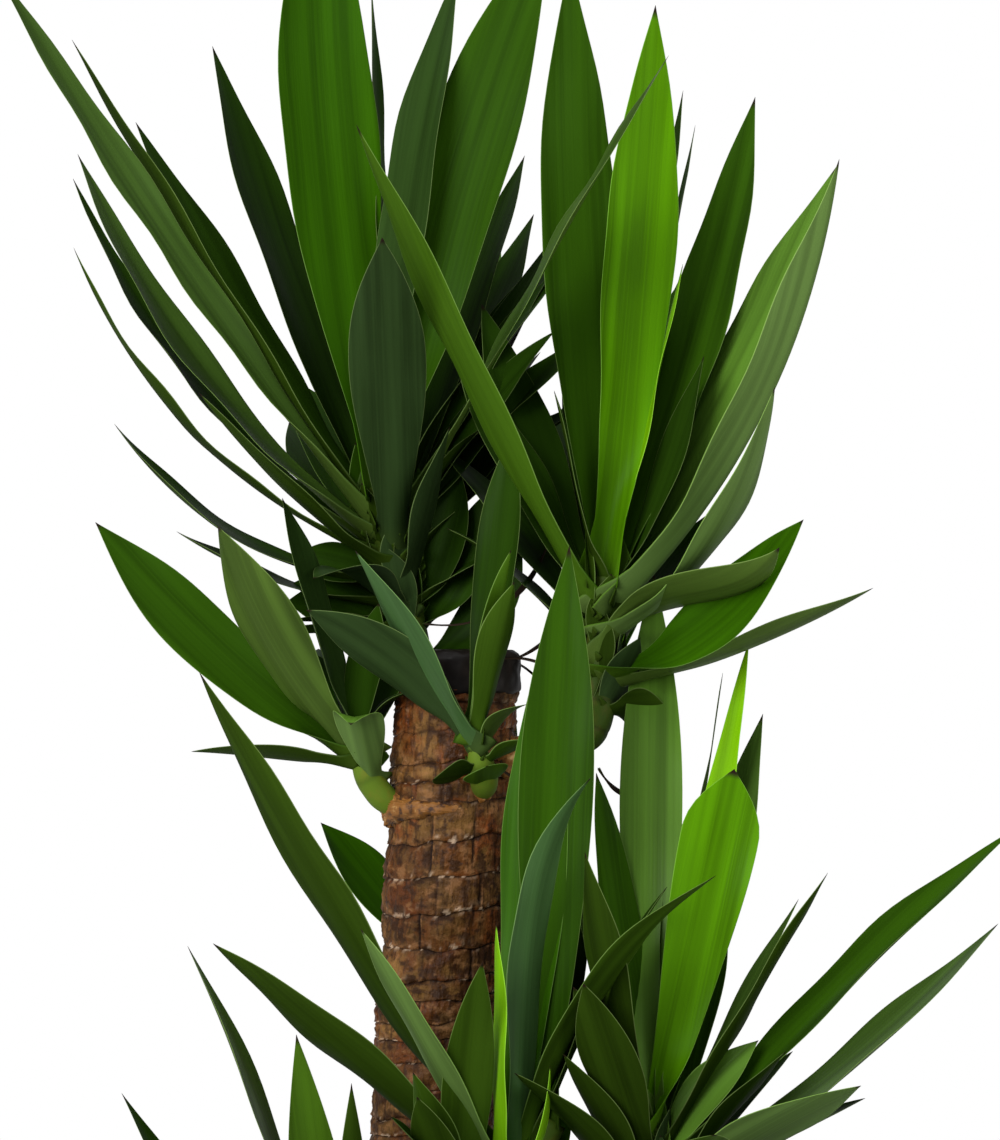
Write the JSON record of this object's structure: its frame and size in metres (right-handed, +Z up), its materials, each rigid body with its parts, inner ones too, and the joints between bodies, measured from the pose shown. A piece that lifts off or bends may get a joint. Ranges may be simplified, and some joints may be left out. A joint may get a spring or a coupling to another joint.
{
  "type": "potted spineless yucca",
  "caption": "Tall potted yucca: bare sawn canes with ringed bark and waxed tops, each carrying heads of long sword-shaped leaves, in a plain round pot.",
  "frame": {"origin": "middle of the pot's flat underside, on the surface it stands on", "axes": "+Z up, -Y towards the viewer of the picture, +X to the viewer's right"},
  "size_m": [0.5984, 0.62, 1.4985],
  "materials": {
    "pot": "unglazed, matt, faint turning lines",
    "soil": "moist crumbly potting mix",
    "bark": "rough, ringed and cracked",
    "wax": "smooth dipped wax",
    "leaf": "waxy satin with fine veins"
  },
  "bodies": {
    "root": {"pot": "pot", "soil": "soil", "cane_tall": "bark", "seal_tall": "wax", "cane_middle": "bark", "seal_middle": "wax", "cane_low": "bark", "seal_low": "wax", "head_left": "leaf", "head_right": "leaf", "shoot_left": "leaf", "shoot_front": "leaf", "shoot_back": "leaf", "head_middle_left": "leaf", "head_middle_right": "leaf", "head_low": "leaf"}
  },
  "joints": []
}
